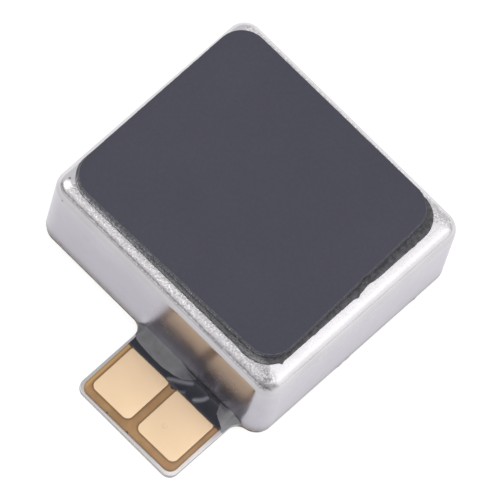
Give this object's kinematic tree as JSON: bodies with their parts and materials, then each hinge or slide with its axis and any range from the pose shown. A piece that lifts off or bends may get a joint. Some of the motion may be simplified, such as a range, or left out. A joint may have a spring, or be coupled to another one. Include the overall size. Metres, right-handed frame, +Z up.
{
  "type": "linear vibration motor",
  "caption": "Rectangular linear resonant vibration motor: steel can with a foam pad on top and a side tongue with gold contact pads; a spring-hung mass moves up and down inside.",
  "frame": {"origin": "centre of the can's footprint on the underside of the base plate", "axes": "+Z up through the can towards the foam pad, X along the can's 9 mm side, Y along its 8 mm side with the contact tongue towards -Y"},
  "size_m": [0.009, 0.0107, 0.0036],
  "materials": {
    "case_steel": "satin",
    "plate_steel": "satin",
    "glue_film": "matte",
    "polyimide": "satin",
    "gold_plate": "satin",
    "coverlay_black": "gloss",
    "epoxy_black": "gloss",
    "copper_winding": "satin",
    "solder": "gloss",
    "soft_damper": "matte",
    "spring_steel": "gloss",
    "nickel_plate": "gloss",
    "tungsten": "matte",
    "foam_grey": "matte",
    "foam_film": "matte"
  },
  "bodies": {
    "housing": {"case": "case_steel", "base_plate": "plate_steel", "fpc_adhesive": "glue_film", "fpc_base_film": "polyimide", "conductor_left": "gold_plate", "conductor_right": "gold_plate", "fpc_coverlay": "coverlay_black", "epoxy_seal": "epoxy_black", "voice_coil": "copper_winding", "coil_lead_outer": "copper_winding", "coil_lead_inner": "copper_winding", "solder_joints": "solder", "lower_dampers": "soft_damper", "upper_damper": "soft_damper", "leaf_spring": "spring_steel", "pad_adhesive": "foam_film", "foam_pad": "foam_grey"},
    "mover": {"yoke_cup": "nickel_plate", "magnet": "nickel_plate", "pole_plate": "nickel_plate", "tungsten_mass": "tungsten", "spring_washer": "spring_steel"}
  },
  "joints": [
    {"name": "mass_slide", "type": "slide", "parent": "housing", "child": "mover", "axis": [0, 0, 1], "range_m": [-0.0004, 0.0004], "stiffness_N_per_m": 1250, "deforming": ["leaf_spring"]}
  ]
}
